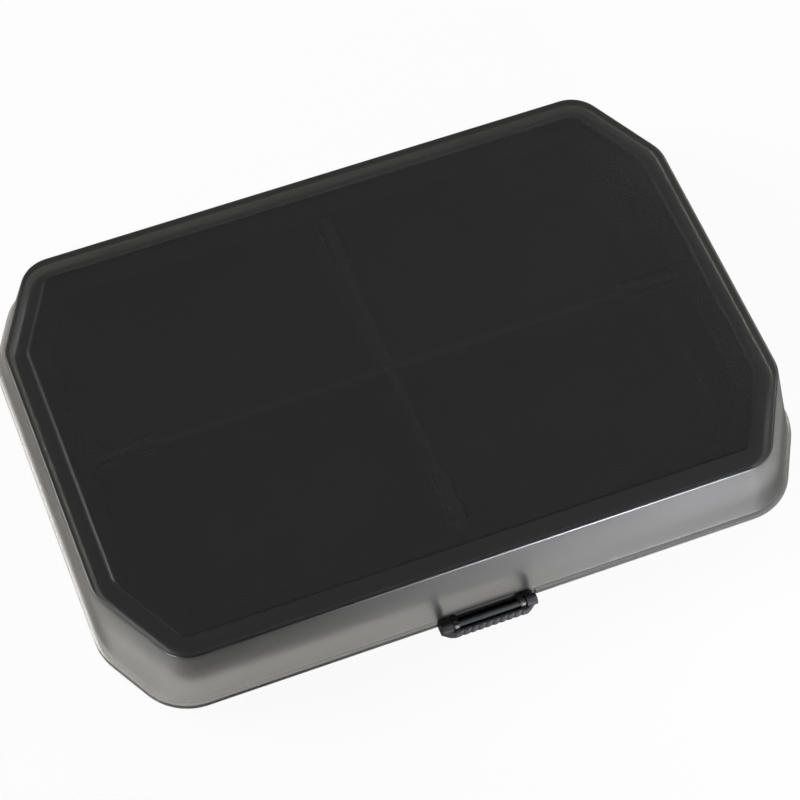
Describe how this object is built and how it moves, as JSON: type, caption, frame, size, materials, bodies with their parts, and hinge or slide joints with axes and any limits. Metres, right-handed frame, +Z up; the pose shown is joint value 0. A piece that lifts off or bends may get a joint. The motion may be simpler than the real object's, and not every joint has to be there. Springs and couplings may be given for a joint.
{
  "type": "compartment organizer box",
  "caption": "Shallow cut-corner storage box with a black divided tray, a deep smoked translucent lid on rear pin hinges and a front snap latch.",
  "frame": {"origin": "middle of the tray's flat bottom face, on the surface that the box stands on", "axes": "+X along the box's length, +Y from the latch to the hinges, +Z up through the lid"},
  "size_m": [0.2044, 0.1553, 0.0242],
  "materials": {
    "tray_black": "fine moulded texture, black",
    "lid_smoke": "smoked translucent, satin",
    "divider_black": "fine moulded texture, black",
    "pin_steel": "drawn wire",
    "latch_black": "moulded, ribbed finger lip"
  },
  "bodies": {
    "tray": {"base_tray": "tray_black", "long_divider": "divider_black", "cross_divider_front": "divider_black", "cross_divider_back": "divider_black", "hinge_pin_left": "pin_steel", "hinge_pin_right": "pin_steel"},
    "lid": {"lid": "lid_smoke", "latch_pin": "pin_steel"},
    "latch": {"latch": "latch_black"}
  },
  "joints": [
    {"name": "lid_hinge", "type": "hinge", "parent": "tray", "child": "lid", "pos_m": [0, 0.0759, 0.0049], "axis": [-1, 0, 0], "range_deg": [0, 110]},
    {"name": "latch_hinge", "type": "hinge", "parent": "lid", "child": "latch", "pos_m": [0, -0.0745, 0.0057], "axis": [-1, 0, 0], "range_deg": [0, 95]}
  ]
}
